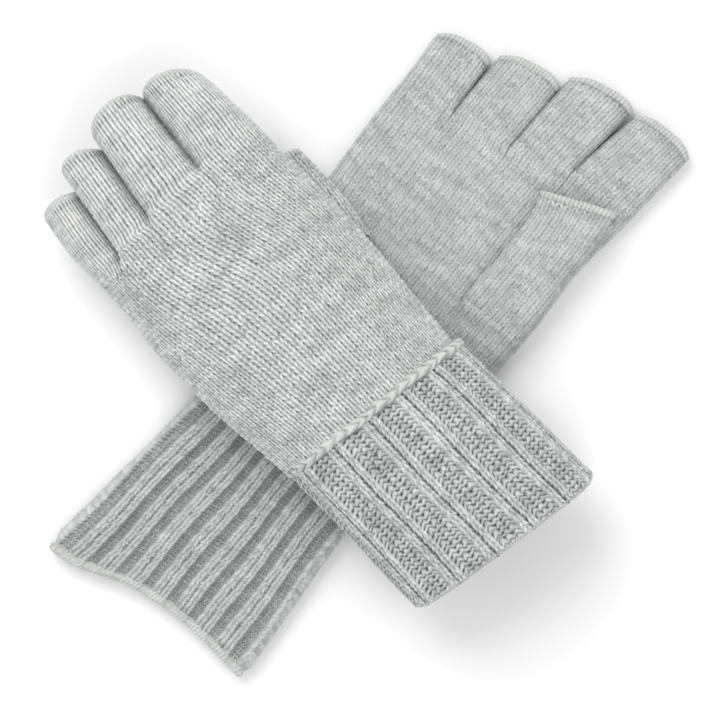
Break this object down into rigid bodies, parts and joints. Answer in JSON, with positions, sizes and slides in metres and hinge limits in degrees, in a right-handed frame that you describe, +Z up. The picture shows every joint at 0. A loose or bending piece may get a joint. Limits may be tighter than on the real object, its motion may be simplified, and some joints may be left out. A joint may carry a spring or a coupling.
{
  "type": "fingerless gloves",
  "caption": "Crossed half-finger knitted gloves with ribbed cuffs: the right lies flat, palm up; the left lies across it, back up, keeping the shape of a hand.",
  "frame": {"origin": "centre of the crossed pair's footprint, on the surface it lies on", "axes": "+Z up, +Y from the laid right glove's cuff to its fingertips, +X across that glove towards its index finger and thumb"},
  "size_m": [0.218, 0.252, 0.0525],
  "materials": {
    "plain_knit": "fine plain knit in a light grey heather yarn, soft and matt",
    "rib_knit": "ribbed knit in the same grey heather yarn, raised knit columns with darker purl valleys",
    "edge_yarn": "bound-off and linked edge stitches in the same yarn, a little lighter and rounder"
  },
  "bodies": {
    "right_glove": {"right_hand": "plain_knit", "right_linking_seam": "edge_yarn", "right_cuff": "rib_knit", "right_cuff_hem": "edge_yarn"},
    "right_little": {"right_little_stall": "plain_knit", "right_little_hem": "edge_yarn"},
    "right_ring": {"right_ring_stall": "plain_knit", "right_ring_hem": "edge_yarn"},
    "right_middle": {"right_middle_stall": "plain_knit", "right_middle_hem": "edge_yarn"},
    "right_index": {"right_index_stall": "plain_knit", "right_index_hem": "edge_yarn"},
    "right_thumb": {"right_thumb_stall": "plain_knit", "right_thumb_hem": "edge_yarn"},
    "left_glove": {"left_hand": "plain_knit"},
    "left_little": {"left_little_stall": "plain_knit", "left_little_hem": "edge_yarn"},
    "left_ring": {"left_ring_stall": "plain_knit", "left_ring_hem": "edge_yarn"},
    "left_middle": {"left_middle_stall": "plain_knit", "left_middle_hem": "edge_yarn"},
    "left_index": {"left_index_stall": "plain_knit", "left_index_hem": "edge_yarn"},
    "left_thumb": {"left_thumb_stall": "plain_knit", "left_thumb_hem": "edge_yarn"},
    "left_cuff": {"left_linking_seam": "edge_yarn", "left_cuff": "rib_knit", "left_cuff_hem": "edge_yarn"}
  },
  "joints": [
    {"name": "right_little_fold", "type": "hinge", "parent": "right_glove", "child": "right_little", "pos_m": [-0.02377, 0.08513, 0.0094], "axis": [1, 0, 0], "range_deg": [0, 85]},
    {"name": "right_ring_fold", "type": "hinge", "parent": "right_glove", "child": "right_ring", "pos_m": [-0.00237, 0.08813, 0.0094], "axis": [1, 0, 0], "range_deg": [0, 85]},
    {"name": "right_middle_fold", "type": "hinge", "parent": "right_glove", "child": "right_middle", "pos_m": [0.02053, 0.09313, 0.0094], "axis": [1, 0, 0], "range_deg": [0, 85]},
    {"name": "right_index_fold", "type": "hinge", "parent": "right_glove", "child": "right_index", "pos_m": [0.04533, 0.09713, 0.0094], "axis": [1, 0, 0], "range_deg": [0, 85]},
    {"name": "right_thumb_fold", "type": "hinge", "parent": "right_glove", "child": "right_thumb", "pos_m": [0.04273, 0.04013, 0.0187], "axis": [1, 0, 0], "range_deg": [0, 80]},
    {"name": "left_glove_lift", "type": "slide", "parent": "right_glove", "child": "left_glove", "axis": [0, 0, 1], "range_m": [0, 0.12]},
    {"name": "left_little_fold", "type": "hinge", "parent": "left_glove", "child": "left_little", "pos_m": [-0.07229, -0.03838, 0.02825], "axis": [0.105, 0.6343, 0.7659], "range_deg": [0, 40]},
    {"name": "left_ring_fold", "type": "hinge", "parent": "left_glove", "child": "left_ring", "pos_m": [-0.07163, -0.02215, 0.04187], "axis": [0.1423, 0.8595, 0.491], "range_deg": [0, 40]},
    {"name": "left_middle_fold", "type": "hinge", "parent": "left_glove", "child": "left_middle", "pos_m": [-0.07136, 0.00088, 0.04942], "axis": [0.1624, 0.981, 0.1059], "range_deg": [0, 40]},
    {"name": "left_index_fold", "type": "hinge", "parent": "left_glove", "child": "left_index", "pos_m": [-0.06905, 0.02706, 0.04878], "axis": [0.162, 0.9784, -0.1285], "range_deg": [0, 40]},
    {"name": "left_thumb_swing", "type": "hinge", "parent": "left_glove", "child": "left_thumb", "pos_m": [-0.01108, 0.03437, 0.01506], "axis": [0, 0, -1], "range_deg": [0, 40]},
    {"name": "left_cuff_bend", "type": "hinge", "parent": "left_glove", "child": "left_cuff", "pos_m": [0.02978, -0.01454, 0.052], "axis": [-0.1633, -0.9866, 0], "range_deg": [0, 40]}
  ]
}
